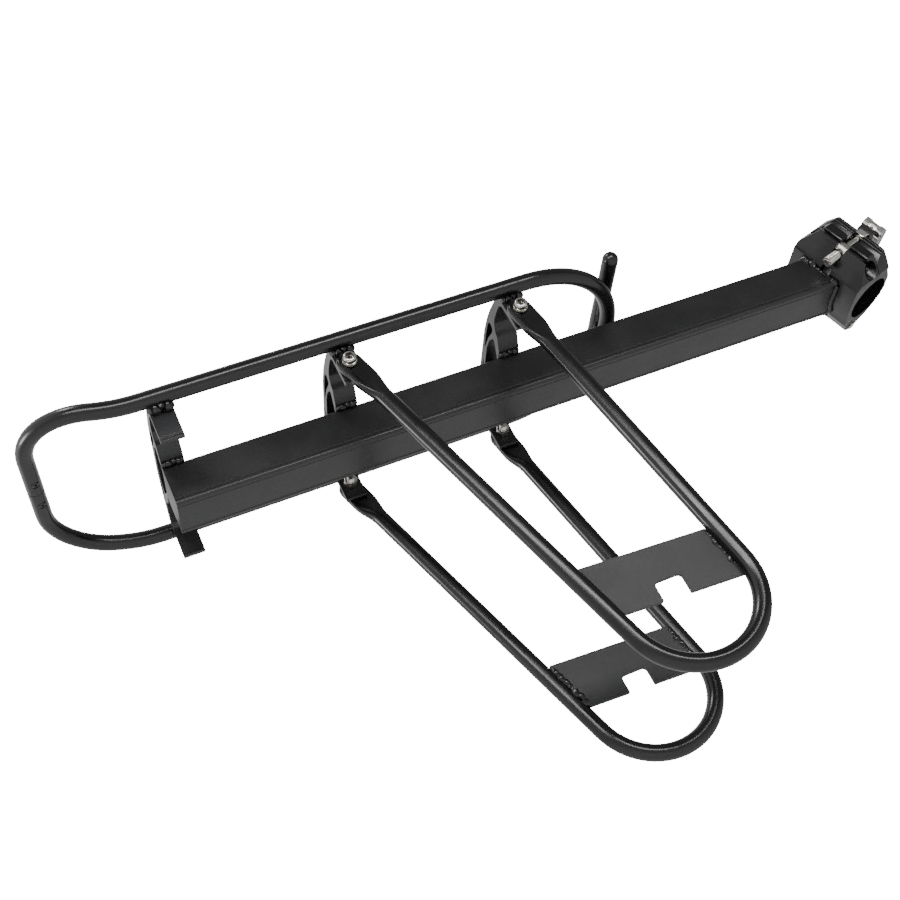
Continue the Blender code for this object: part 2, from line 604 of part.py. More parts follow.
def build_quick_release():
    pivot = (*BARREL, 0.0)
    along = Matrix.Rotation(radians(90), 4, "Y")
    barrel = rod("barrel_nut", BARREL_R, -BARREL_HALF, BARREL_HALF, "steel", CLAMP_FRAME, pivot)
    cut(barrel, rod("barrel_thread", SWING_BOLT_R + 0.12, -20.0, 20.0, None,
                    CLAMP_FRAME @ Matrix.Translation(Vector(pivot) * MM) @ along))

    reach = CAM_U - BARREL[0]
    bolt = rod("swing_bolt", SWING_BOLT_R, -SWING_BOLT_TAIL, reach - 1.0, "steel", CLAMP_FRAME,
               pivot)
    bolt.data.transform(along)
    eye_at = (CAM_U, BARREL[1], 0.0)
    cut(bolt, rod("bolt_eye", 3.8, -EYE_HALF, EYE_HALF, None, CLAMP_FRAME, eye_at, sides=20),
        "UNION")
    pin_hole = rod("cam_pin_hole", CAM_PIN_R + 0.1, -20.0, 20.0, None, CLAMP_FRAME, eye_at)
    cut(bolt, pin_hole)

    low = WASHER_U - BARREL[0]
    washer = box("cam_washer", (low, -5.6, -5.2), (low + 6.0, 5.6, 5.2), "chrome", CLAMP_FRAME,
                 pivot, edge=0.8)
    # Two prongs reach back from the washer into the gate's slot, either side of the bolt.
    prongs = box("washer_prongs", (low - 4.2, -5.3, -SLOT_HALF + GAP),
                 (low + 2.0, 5.3, SLOT_HALF - GAP), None, CLAMP_FRAME, pivot, edge=0.4)
    cut(washer, prongs, "UNION")
    cut(washer, box("bolt_passage", (low - 20.0, -3.5, -10.0), (low, 3.5, 10.0), None,
                    CLAMP_FRAME, pivot))
    cut(washer, rod("washer_hollow", LOBE_R + 0.9, -20.0, 20.0, None, CLAMP_FRAME, eye_at,
                    sides=24))
    cut(washer, rod("washer_hole", SWING_BOLT_R + 0.25, 5.0, 40.0, None,
                    CLAMP_FRAME @ Matrix.Translation(Vector(pivot) * MM) @ along))

    rod("cam_pin", CAM_PIN_R, -LEVER_HALF - 0.4, LEVER_HALF + 0.4, "chrome", CLAMP_FRAME, eye_at)

    lobe = arc((0.0, 0.0), LOBE_R, 150, 370, 11)
    outline = lobe + [(3.6, 5.5), (2.4, 14.0), (2.0, 26.0), (2.3, 36.0), (1.2, 41.5),
                      (-0.6, 41.0), (-1.2, 36.0), (-1.4, 26.0), (-1.2, 14.0), (-2.4, 7.0)]
    lever = slab("quick_release_lever", outline, LEVER_HALF, "chrome", CLAMP_FRAME, eye_at)
    cut(lever, box("lever_fork", (10.0, -50.0, -EYE_HALF - 0.6),
                   (40.0, BARREL[1] + 6.6, EYE_HALF + 0.6), None, CLAMP_FRAME))
    cut(lever, pin_hole)


# ---------------------------------------------------------------- assembly

HINGE_AT = (*HINGE, 0.0)
BOLT_HOLES = {x: rod("bolt_hole_%d" % -x, HOLE_R, -80.0, 80.0, None,
                     Matrix.Translation(Vector((x, 0.0, BOLT_Z)) * MM) @ TO_Y)
              for x in (REAR_BOLT_X, FRONT_BOLT_X)}
CLAMP_TOOLS = build_clamp_tools()

build_beam()
build_deck()
build_stop()
build_brackets()
build_guards()
build_guard_fasteners()
build_clamp_base()
build_clamp_gate()
build_quick_release()
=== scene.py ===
from math import asin, atan2, cos, hypot, pi, radians, sin, tan
import json
import bmesh
import bpy
from mathutils import Matrix, Vector


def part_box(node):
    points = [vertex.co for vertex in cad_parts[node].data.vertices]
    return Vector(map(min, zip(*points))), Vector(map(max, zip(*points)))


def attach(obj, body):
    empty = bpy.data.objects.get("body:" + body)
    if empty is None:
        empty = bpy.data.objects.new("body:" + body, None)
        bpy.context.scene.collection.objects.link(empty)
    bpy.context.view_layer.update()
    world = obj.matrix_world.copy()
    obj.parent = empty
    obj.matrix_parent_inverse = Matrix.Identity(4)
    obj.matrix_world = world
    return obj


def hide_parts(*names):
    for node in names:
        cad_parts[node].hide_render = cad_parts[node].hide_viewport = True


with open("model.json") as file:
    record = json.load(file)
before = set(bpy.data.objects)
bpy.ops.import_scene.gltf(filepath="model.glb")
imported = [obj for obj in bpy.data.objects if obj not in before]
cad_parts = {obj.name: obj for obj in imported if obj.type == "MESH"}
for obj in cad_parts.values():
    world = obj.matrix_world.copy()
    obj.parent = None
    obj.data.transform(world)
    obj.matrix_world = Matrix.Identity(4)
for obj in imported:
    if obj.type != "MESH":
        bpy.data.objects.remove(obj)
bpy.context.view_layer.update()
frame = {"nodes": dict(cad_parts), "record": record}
MM = 0.001


# ---------------------------------------------------------------- camera, light and floor

CAMERA_LENS = 55.29
CAMERA_AT = (-0.5258, -0.6718, -0.4465)
CAMERA_RIGHT = Vector((0.90895, -0.0532, -0.4135))
CAMERA_UP = Vector((0.31121, -0.57337, 0.75789))
BRIGHT_WALL = (-0.76, 0.60, 0.25)      # the way to the studio's bright wall
WALL_STRENGTH = 1.10
ROOM_STRENGTH = 0.26
BACKDROP_STRENGTH = 18.0
STUDIO_REACH = 9.0                     # the backdrop's radius, and half the floor's side
FLOOR_AT = (-0.25, 0.0, -0.95)


def add_camera():
    data = bpy.data.cameras.new("camera")
    data.lens = CAMERA_LENS
    data.sensor_width = 36.0
    camera = bpy.data.objects.new("camera", data)
    axes = Matrix((CAMERA_RIGHT, CAMERA_UP, CAMERA_RIGHT.cross(CAMERA_UP)))
    camera.matrix_world = Matrix.Translation(CAMERA_AT) @ axes.transposed().to_4x4()
    bpy.context.scene.collection.objects.link(camera)
    bpy.context.scene.camera = camera


def add_world():
    """A bright wall to the rack's left and rear that fades towards a dimmer room."""
    world = bpy.data.worlds.new("studio")
    bpy.context.scene.world = world
    world.use_nodes = True
    tree = world.node_tree
    where = tree.nodes.new("ShaderNodeTexCoord")
    facing = tree.nodes.new("ShaderNodeVectorMath")
    facing.operation = "DOT_PRODUCT"
    facing.inputs[1].default_value = BRIGHT_WALL
    ramp = tree.nodes.new("ShaderNodeMapRange")
    ramp.interpolation_type = "SMOOTHSTEP"
    ramp.inputs["From Min"].default_value = -0.25
    ramp.inputs["From Max"].default_value = 0.35
    ramp.inputs["To Min"].default_value = ROOM_STRENGTH
    ramp.inputs["To Max"].default_value = WALL_STRENGTH
    tree.links.new(where.outputs["Generated"], facing.inputs[0])
    tree.links.new(facing.outputs["Value"], ramp.inputs["Value"])
    tree.links.new(ramp.outputs["Result"], tree.nodes["Background"].inputs["Strength"])
    tree.nodes["Background"].inputs["Color"].default_value = (1.0, 1.0, 1.0, 1.0)


def add_light(name, at, target, size, power, height=None):
    """A soft lamp: a disc of that size, or a strip of that length if it is given a height."""
    data = bpy.data.lights.new(name, "AREA")
    data.shape = "RECTANGLE" if height else "DISK"
    data.size = size
    data.size_y = height or size
    data.energy = power
    lamp = bpy.data.objects.new(name, data)
    lamp.location = at
    lamp.rotation_euler = (Vector(target) - Vector(at)).to_track_quat("-Z", "Y").to_euler()
    lamp.visible_camera = False
    bpy.context.scene.collection.objects.link(lamp)


def add_backdrop():
    """A white sweep round the studio, seen by the camera alone: it lights nothing."""
    mesh = bpy.data.meshes.new("backdrop")
    shell = bmesh.new()
    bmesh.ops.create_uvsphere(shell, u_segments=48, v_segments=24, radius=STUDIO_REACH)
    shell.to_mesh(mesh)
    shell.free()
    mesh.shade_smooth()
    material = bpy.data.materials.new("lit_white_sweep")
    material.use_nodes = True
    tree = material.node_tree
    tree.nodes.clear()
    glow = tree.nodes.new("ShaderNodeEmission")
    glow.inputs["Strength"].default_value = BACKDROP_STRENGTH
    output = tree.nodes.new("ShaderNodeOutputMaterial")
    tree.links.new(glow.outputs["Emission"], output.inputs["Surface"])
    mesh.materials.append(material)
    backdrop = bpy.data.objects.new("backdrop", mesh)
    bpy.context.scene.collection.objects.link(backdrop)
    backdrop.visible_diffuse = False
    backdrop.visible_glossy = False
    backdrop.visible_transmission = False
    backdrop.visible_shadow = False


def add_floor():
    floor = bpy.data.objects.new("floor", bpy.data.meshes.new("floor"))
    sheet = bmesh.new()
    bmesh.ops.create_grid(sheet, x_segments=8, y_segments=8, size=STUDIO_REACH)
    sheet.to_mesh(floor.data)
    sheet.free()
    floor.location = FLOOR_AT
    floor.data.materials.append(MATERIALS["floor"])
    bpy.context.scene.collection.objects.link(floor)


add_camera()
add_world()
add_backdrop()
add_light("key_softbox", (-0.9, -0.9, 1.6), (-0.25, 0.0, 0.0), 0.5, 9.0)
add_light("rear_strip", (-2.2, 0.4, 0.3), (-0.3, 0.0, 0.0), 0.6, 10.0)
add_light("side_strip", (-0.45, -1.2, 0.08), (-0.45, 0.0, 0.0), 1.6, 13.0, height=0.15)


# ---------------------------------------------------------------- measures, in millimetres

def span(node):
    low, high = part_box(node)
    return Vector(low) / MM, Vector(high) / MM


def middle(node):
    low, high = span(node)
    return (low + high) / 2


TUBE_R = 5.0
GAP = 0.3
FACET = TUBE_R * cos(pi / 12)          # how far the solids' twelve-sided tubes reach
BEAM_LOW, BEAM_HIGH = span("main_beam")
BEAM_WALL = 2.2
DECK_LOW, DECK_HIGH = span("deck_loop")
RAIL_Y = DECK_HIGH.y - FACET
RAIL_Z = DECK_LOW.z + FACET
DECK_FRONT_X = DECK_HIGH.x - FACET
DECK_FRONT_BEND = 65.0
DECK_KINK_X = -476.6
KINK_REACH = 12.0                      # how far the kink's bend spreads each way
DECK_TAIL_BEND = 39.4
DECK_TAIL_RISE = radians(15.4)
DECK_TAIL = 54.4
SCREW_TURN = radians(168)
SEAM_Y = (middle("left_joint_screw").y + middle("right_joint_screw").y) / 2
STOP = middle("luggage_stop_bar")
BRACKETS = {name: middle(name).x for name in ("rear_bracket", "middle_bracket", "front_bracket")}
BRACKET_HALF = 6.75
FLANGE_OUT = span("middle_bracket")[1].y
FLANGE_IN = FLANGE_OUT - 3.0
FLANGE_BOTTOM = span("middle_bracket")[0].z
CROWN_Z = span("middle_bracket")[1].z
BOLT_Z = middle("right_rear_guard_bolt").z
REAR_BOLT_X = BRACKETS["middle_bracket"]
FRONT_BOLT_X = BRACKETS["front_bracket"]
GUARD_HOLE_R = 2.8
REAR_LEG = radians(17.86)
LOOP_BEND = 38.8
LOOP_DROP = 238.25
LOOP_LEAN = 6.8
SPADE_HALF_WIDTH = 7.5
SPADE_HALF_THICK = 1.85
SPADE_Y = FLANGE_OUT + GAP + SPADE_HALF_THICK
SPADE_LENGTH = 13.0
SPADE_FADE = 17.0
LOOP_CENTRE = (REAR_BOLT_X + LOOP_BEND / cos(REAR_LEG) + (LOOP_DROP - LOOP_BEND) * tan(REAR_LEG),
               BOLT_Z - (LOOP_DROP - LOOP_BEND))
FRONT_REACH = (LOOP_CENTRE[0] - FRONT_BOLT_X, LOOP_DROP - LOOP_BEND)
FRONT_LEG = atan2(*FRONT_REACH) + asin(LOOP_BEND / hypot(*FRONT_REACH))
PLATE_EDGE = 4.3                       # from a leg's centreline to the plate's edge
PLATE_INBOARD = 3.6
PLATE_HALF_THICK = 1.2
PLATE_MIDDLE_Z = -178.0
PLATE_TOP_REAR_Z = -160.0
PLATE_TOP_FRONT_Z = -164.0
PLATE_BOTTOM_REAR_Z = -192.5
PLATE_BOTTOM_FRONT_Z = -196.0
NOTCH_REAR_X = -254.0
NOTCH_FRONT_X = -238.0
NOTCH_TOP_Z = -182.6
NOTCH_CORNER = 2.5
SEAT_TUBE_LEAN = radians(17.0)
# In the clamp's own axes: U forward, V across and W up the seatpost.
BARREL = (-5.5, -27.0)
BARREL_POCKET_R = 5.5
BARREL_POCKET_W = 15.9                 # where the pocket at each end of the barrel starts
SADDLE_BACK_U = 13.4                   # where the cam washer's saddle meets its prongs
# The outline, in (U, V), of the clamp's rear face, which the beam butts against.
BASE_REAR = [(-20.0, -18.0), (-20.0, 2.0), (-17.7, 10.0), (-17.2, 15.8), (-14.2, 22.2)]

CLAMP_FRAME = Matrix.Rotation(-SEAT_TUBE_LEAN, 4, "Y")
ACROSS = Matrix(((0, 0, 1, 0), (1, 0, 0, 0), (0, 1, 0, 0), (0, 0, 0, 1)))
ALONG = Matrix(((1, 0, 0, 0), (0, 0, -1, 0), (0, 1, 0, 0), (0, 0, 0, 1)))
TO_Y = Matrix.Rotation(radians(-90), 4, "X")


# ---------------------------------------------------------------- materials

def linear(code):
    """A colour written as #rrggbb, in the linear values that shaders take."""
    parts = [int(code[i:i + 2], 16) / 255 for i in (1, 3, 5)]
    return (*[p / 12.92 if p <= 0.04045 else ((p + 0.055) / 1.055) ** 2.4 for p in parts], 1.0)


def node(tree, kind, links=None, **settings):
    """Add a node; settings name its properties or sockets, links name its linked sockets."""
    made = tree.nodes.new(kind)
    for key, value in settings.items():
        if hasattr(made, key):
            setattr(made, key, value)
        else:
            made.inputs[key.replace("_", " ")].default_value = value
    for key, source in (links or {}).items():
        tree.links.new(source, made.inputs[key])
    return made


def surface(name, dark, light, rough, metallic, grain, bump, stretch=(1.0, 1.0, 1.0)):
    """A finish with fine texture: grain is its size and bump its depth, in millimetres."""
    material = bpy.data.materials.new(name)
    material.use_nodes = True
    tree = material.node_tree
    shader = tree.nodes["Principled BSDF"]
    shader.inputs["Metallic"].default_value = metallic
    where = node(tree, "ShaderNodeTexCoord")
    scaled = node(tree, "ShaderNodeMapping", {"Vector": where.outputs["Object"]},
                  Scale=tuple(s / MM for s in stretch))
    broad = node(tree, "ShaderNodeTexNoise", {"Vector": scaled.outputs["Vector"]},
                 Scale=1 / 24.0, Detail=3.0)
    fine = node(tree, "ShaderNodeTexNoise", {"Vector": scaled.outputs["Vector"]},
                Scale=1 / grain, Detail=2.0)
    tint = node(tree, "ShaderNodeMix", {"Factor": broad.outputs["Fac"]}, data_type="RGBA")
    tint.inputs[6].default_value = linear(dark)
    tint.inputs[7].default_value = linear(light)
    tree.links.new(tint.outputs[2], shader.inputs["Base Color"])
    gloss = node(tree, "ShaderNodeMapRange", {"Value": broad.outputs["Fac"]},
                 From_Min=0.3, From_Max=0.7, To_Min=rough[0], To_Max=rough[1])
    tree.links.new(gloss.outputs["Result"], shader.inputs["Roughness"])
    relief = node(tree, "ShaderNodeBump", {"Height": fine.outputs["Fac"]},
                  Strength=0.5, Distance=bump * MM)
    tree.links.new(relief.outputs["Normal"], shader.inputs["Normal"])
    return material


MATERIALS = {
    # satin powder coat: faint orange peel about a millimetre across
    "black_paint": surface("satin_black_powder_coat", "#121213", "#1a1a1b", (0.32, 0.42), 0.0,
                           1.1, 0.003),
    # the same coat on round tube, where it flows out glossier
    "tube_paint": surface("gloss_black_powder_coat", "#09090a", "#0e0e0f", (0.20, 0.27), 0.0,
                          1.6, 0.0012),
    # the coat on rolled sheet, a little dustier and flatter
    "sheet_paint": surface("flat_black_powder_coat", "#262627", "#303031", (0.46, 0.56), 0.0,
                           0.9, 0.006),
    # extruded aluminium, black anodised: very fine draw lines along the bar
    "black_anodised": surface("black_anodised_aluminium", "#18181a", "#222224", (0.28, 0.38),
                              0.0, 0.35, 0.006, (0.15, 1.0, 1.0)),
    # machined and anodised clamp halves, darker than the extrusions
    "clamp_anodised": surface("machined_black_anodised", "#0b0b0c", "#121213", (0.20, 0.28),
                              0.0, 0.6, 0.0015),
    "black_plastic": surface("black_nylon", "#1b1b1c", "#242425", (0.36, 0.46), 0.0, 0.6, 0.012),
    "plain_aluminium": surface("drawn_aluminium", "#9a9a9c", "#adadb0", (0.28, 0.38), 1.0,
                               0.4, 0.004, (1.0, 0.1, 1.0)),
    # bright zinc plate: slightly cloudy
    "bright_steel": surface("bright_zinc_plate", "#b9b7b1", "#e2dfd7", (0.14, 0.26), 1.0,
                            0.5, 0.004),
    "chrome": surface("chrome_plate", "#e4e2dd", "#f5f3ee", (0.04, 0.10), 1.0, 1.5, 0.003),
    # paint pooled over the ripples of a weld
    "weld": surface("painted_weld_bead", "#0d0d0e", "#1a1a1b", (0.16, 0.26), 0.0, 0.8, 0.030),
    "floor": surface("pale_floor", "#f3f3f3", "#fafafa", (0.70, 0.80), 0.0, 3.0, 0.01),
}


# ---------------------------------------------------------------- making pieces

def piece(name, mesh, slot, body, stands_for=(), transform=None, angle=38.0):
    """Put a mesh in the scene: painted, shaded, riding on its body and replacing CAD nodes."""
    thing = bpy.data.objects.new(name, mesh)
    bpy.context.scene.collection.objects.link(thing)
    if transform:
        mesh.transform(transform)
    mesh.materials.clear()
    mesh.materials.append(MATERIALS[slot])
    mesh.shade_smooth()
    mesh.set_sharp_from_angle(angle=radians(angle))
    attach(thing, body)
    if stands_for:
        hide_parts(*stands_for)
    return thing


def eased(thing, width):
    """Round the sharp edges over."""
    bevel = thing.modifiers.new("edges", "BEVEL")
    bevel.width = width * MM
    bevel.segments = 3
    bevel.limit_method = "ANGLE"
    bevel.angle_limit = radians(28)
    bevel.harden_normals = True


def closed(bm, name):
    bmesh.ops.recalc_face_normals(bm, faces=bm.faces)
    mesh = bpy.data.meshes.new(name)
    bm.to_mesh(mesh)
    bm.free()
    return mesh


def loft(name, rings):
    """A closed solid through rings of points that all have the same count, in millimetres."""
    bm = bmesh.new()
    rows = [[bm.verts.new(Vector(p) * MM) for p in ring] for ring in rings]
    for first, second in zip(rows, rows[1:]):
        for i in range(len(first)):
            j = (i + 1) % len(first)
            bm.faces.new((first[i], first[j], second[j], second[i]))
    bm.faces.new(rows[0])
    bm.faces.new(rows[-1])
    return closed(bm, name)


def sweep_rings(path, radii, sides):
    """Circles square to the path, kept from twisting; radii gives each one's radius."""
    points = [Vector(p) for p in path]
    side_way = None
    rings = []
    for i, point in enumerate(points):
        along = (points[min(i + 1, len(points) - 1)] - points[max(i - 1, 0)]).normalized()
        if side_way is None:
            side_way = along.orthogonal().normalized()
        side_way = (side_way - along * side_way.dot(along)).normalized()
        other = along.cross(side_way)
        rings.append([point + (side_way * cos(a) + other * sin(a)) * radii[i]
                      for a in [2 * pi * k / sides for k in range(sides)]])
    return rings


def turned(name, profile, sides=48):
    """A solid of revolution about Z from (radius, height) points, axis to axis."""
    bm = bmesh.new()
    rows = []
    for r, z in profile:
        count = 1 if r == 0 else sides
        rows.append([bm.verts.new(Vector((r * cos(a), r * sin(a), z)) * MM)
                     for a in [2 * pi * k / sides for k in range(count)]])
    for first, second in zip(rows, rows[1:]):
        for i in range(sides):
            j = (i + 1) % sides
            corners = [first[i % len(first)], first[j % len(first)], second[j % len(second)],
                       second[i % len(second)]]
            bm.faces.new(list(dict.fromkeys(corners)))
    return closed(bm, name)


def slab(name, outline, half, holes=()):
    """A flat outline, with holes, thickened both ways."""
    curve = bpy.data.curves.new(name, "CURVE")
    curve.dimensions = "2D"
    curve.fill_mode = "BOTH"
    curve.extrude = half * MM
    for loop in (outline, *holes):
        spline = curve.splines.new("POLY")
        spline.points.add(len(loop) - 1)
        spline.use_cyclic_u = True
        for point, (x, y) in zip(spline.points, loop):
            point.co = (x * MM, y * MM, 0.0, 1.0)
    drawn = bpy.data.objects.new(name, curve)
    bpy.context.scene.collection.objects.link(drawn)
    bpy.context.view_layer.update()
    mesh = bpy.data.meshes.new_from_object(
        drawn.evaluated_get(bpy.context.evaluated_depsgraph_get()))
    bpy.data.objects.remove(drawn)
    bm = bmesh.new()
    bm.from_mesh(mesh)
    bmesh.ops.remove_doubles(bm, verts=bm.verts, dist=0.000004)
    bmesh.ops.dissolve_limit(bm, angle_limit=radians(0.5), verts=bm.verts, edges=bm.edges)
    return closed(bm, name)


def combined(mesh, cutter, operation="DIFFERENCE"):
    """The mesh after a Boolean with the cutter."""
    objects = [bpy.data.objects.new("part", mesh), bpy.data.objects.new("cutter", cutter)]
    for thing in objects:
        bpy.context.scene.collection.objects.link(thing)
    modifier = objects[0].modifiers.new("cut", "BOOLEAN")
    modifier.object = objects[1]
    modifier.operation = operation
    modifier.solver = "EXACT"
    bpy.context.view_layer.update()
    result = bpy.data.meshes.new_from_object(
        objects[0].evaluated_get(bpy.context.evaluated_depsgraph_get()))
    for thing in objects:
        bpy.data.objects.remove(thing)
    return result


def bar(radius, low, high, sides=48, transform=None):
    mesh = turned("bar", [(0.0, low), (radius, low), (radius, high), (0.0, high)], sides)
    if transform:
        mesh.transform(transform)
    return mesh


def arc(centre, radius, start, end, steps):
    turn = [radians(start + (end - start) * i / steps) for i in range(steps + 1)]
    return [(centre[0] + radius * cos(a), centre[1] + radius * sin(a)) for a in turn]


def rounded(outline, radius, steps=4):
    """The outline with each corner replaced by a curve of about that radius."""
    result = []
    for i, corner in enumerate(outline):
        here = Vector(corner)
        before = Vector(outline[i - 1]) - here
        after = Vector(outline[(i + 1) % len(outline)]) - here
        if before.length < 1e-6 or after.length < 1e-6:
            continue
        reach = min(radius, before.length * 0.45, after.length * 0.45)
        first = here + before.normalized() * reach
        last = here + after.normalized() * reach
        for k in range(steps + 1):
            t = k / steps
            result.append(tuple(first * (1 - t) ** 2 + here * 2 * t * (1 - t) + last * t * t))
    return result


def bolt_hole(x):
    """The cutter for a guard bolt's hole, right across the rack."""
    return bar(GUARD_HOLE_R, -80, 80, 32, shift(x, 0.0, BOLT_Z) @ TO_Y)


def mirrored(points):
    return points + [(-y, z) for y, z in reversed(points)]


def shift(x, y, z):
    return Matrix.Translation(Vector((x, y, z)) * MM)


def weld(name, path, width, pitch=2.1, swell=0.26, uneven=0.0):
    """A rippled bead along a path: each ripple swells and then drops away, like stacked coins."""
    points = [Vector(p) for p in path]
    lengths = [(b - a).length for a, b in zip(points, points[1:])]
    total = sum(lengths)
    steps = max(8, int(total / pitch * 7))
    route = []
    radii = []
    for i in range(steps + 1):
        target = total * i / steps
        k = 0
        while k < len(lengths) - 1 and target > lengths[k]:
            target -= lengths[k]
            k += 1
        ripple = total * i / steps / pitch
        phase = ripple % 1.0
        count = int(ripple)
        drift = Vector((sin(count * 2.3), sin(count * 1.7 + 1.0), sin(count * 3.1 + 2.0)))
        here = points[k].lerp(points[k + 1], min(1.0, target / lengths[k]))
        route.append(here + drift * (uneven * width * 0.12 * sin(pi * phase)))
        ends = min(1.0, 0.45 + 0.55 * min(i, steps - i) / 4)
        size = 1 + uneven * 0.22 * sin(count * 2.9 + 0.7)
        radii.append(width / 2 * ends * size * (1 - swell * phase ** 1.5))
    return piece(name, loft(name, sweep_rings(route, radii, 14)), "weld", "rack")


# ---------------------------------------------------------------- beam

def clamp_rear(v):
    """How far back, in U, the clamp's rear face stands at a place across it."""
    for (u0, v0), (u1, v1) in zip(BASE_REAR, BASE_REAR[1:]):
        if v <= v1:
            return u0 + (u1 - u0) * max(0.0, v - v0) / (v1 - v0)
    return BASE_REAR[-1][0]


def beam_front(y, z):
    """Where a line along the beam meets the clamp."""
    return (clamp_rear(y) - GAP - z * sin(SEAT_TUBE_LEAN)) / cos(SEAT_TUBE_LEAN)


def make_beam():
    """Rectangular extrusion with a rounded bead, set off by grooves, along each lower corner."""
    half = BEAM_HIGH.y
    low = BEAM_LOW.z
    high = BEAM_HIGH.z
    bead = [(half, low + 4.6), (half - 0.55, low + 4.1), (half - 0.55, low + 3.4)]
    bead += [(half - 0.1, low + 3.0)]
    bead += [(half - 1.9 + 1.9 * cos(a), low + 1.9 - 1.9 * sin(a))
             for a in [radians(d) for d in (0, 18, 36, 54, 72, 90)]]
    bead += [(half - 2.9, low + 0.1), (half - 3.3, low + 0.45), (half - 4.0, low + 0.4),
             (half - 4.4, low)]
    top = [(half - 2.0 + 2.0 * cos(a), high - 2.0 + 2.0 * sin(a))
           for a in [radians(d) for d in (90, 72, 54, 36, 18, 0)]]
    outer = top + bead
    outer += [(-y, z) for y, z in reversed(outer)]
    inner = rounded([(half - BEAM_WALL, high - BEAM_WALL), (half - BEAM_WALL, low + BEAM_WALL),
                     (-half + BEAM_WALL, low + BEAM_WALL),
                     (-half + BEAM_WALL, high - BEAM_WALL)], 1.0, 3)
    bm = bmesh.new()
    ends = []
    for loop in (outer, inner):
        rear = [bm.verts.new(Vector((BEAM_LOW.x, y, z)) * MM) for y, z in loop]
        front = [bm.verts.new(Vector((beam_front(y, z), y, z)) * MM) for y, z in loop]
        for i in range(len(loop)):
            j = (i + 1) % len(loop)
            bm.faces.new((rear[i], rear[j], front[j], front[i]))
        ends.append((rear, front))
    for k in (0, 1):
        edges = []
        for rear_front in ends:
            ring = rear_front[k]
            edges += [bm.edges.get((ring[i], ring[(i + 1) % len(ring)])) for i in range(len(ring))]
        bmesh.ops.triangle_fill(bm, edges=edges, use_beauty=True)
    piece("main_beam_extrusion", closed(bm, "main_beam_extrusion"), "black_paint", "rack",
          ["main_beam"], angle=25.0)

    def seam(corners):
        """A path round the clamp joint through these (y, z) corners of the beam."""
        route = []
        for (y0, z0), (y1, z1) in zip(corners, corners[1:]):
            for k in range(7):
                y = y0 + (y1 - y0) * k / 6
                z = z0 + (z1 - z0) * k / 6
                route.append((beam_front(y, z) - 0.6, y, z))
        return route

    # The bead is kept low across the slot's mouth, where the swing bolt's tail passes.
    side = -half + 1
    weld("clamp_to_beam_weld_upper",
         seam([(half - 1, low + 1), (half - 1, high - 1), (side, high - 1), (side, 0.3)]), 6.8,
         pitch=3.1, swell=0.42, uneven=1.0)
    weld("clamp_to_beam_weld_middle", seam([(side, 0.8), (side, -12.8)]), 3.0, pitch=2.6,
         swell=0.36, uneven=0.3)
    weld("clamp_to_beam_weld_lower", seam([(side, -12.3), (side, low + 1)]), 6.8, pitch=3.1,
         swell=0.42, uneven=1.0)
    weld("clamp_to_beam_fillet", seam([(half - 2, low), (-half + 2, low)]), 3.6, pitch=3.0,
         swell=0.06)


# ---------------------------------------------------------------- deck

def fold(x):
    """A place on the flat loop, folded up behind the kink round a gentle bend."""
    bend = 2 * KINK_REACH / DECK_TAIL_RISE
    back = DECK_KINK_X + KINK_REACH - x
    if back <= 0:
        return x, RAIL_Z
    turn = min(back / bend, DECK_TAIL_RISE)
    beyond = max(0.0, back - 2 * KINK_REACH)
    new_x = DECK_KINK_X + KINK_REACH - bend * sin(turn) - beyond * cos(turn)
    return new_x, RAIL_Z + bend * (1 - cos(turn)) + beyond * sin(turn)


def deck_route():
    tail_x = DECK_KINK_X - DECK_TAIL
    tail = (tail_x + DECK_TAIL_BEND, RAIL_Y - DECK_TAIL_BEND)
    front = (DECK_FRONT_X - DECK_FRONT_BEND, RAIL_Y - DECK_FRONT_BEND)
    half = [(tail_x, tail[1] - 4.0)] + arc(tail, DECK_TAIL_BEND, 180, 90, 16)
    half += [(DECK_KINK_X + KINK_REACH - 2 * KINK_REACH * k / 8, RAIL_Y) for k in range(8, -1, -1)]
    half += [(-440.0, RAIL_Y), (-340.0, RAIL_Y), (-250.0, RAIL_Y)]
    half += arc(front, DECK_FRONT_BEND, 90, 0, 28)
    flat = [(tail_x, SEAM_Y + 0.12), (tail_x, SEAM_Y + 0.5)] + half
    flat += [(x, -y) for x, y in reversed(half)]
    flat += [(tail_x, SEAM_Y - 0.5), (tail_x, SEAM_Y - 0.12)]
    route = []
    for x, y in flat:
        folded = fold(x)
        route.append((folded[0], y, folded[1]))
    return route


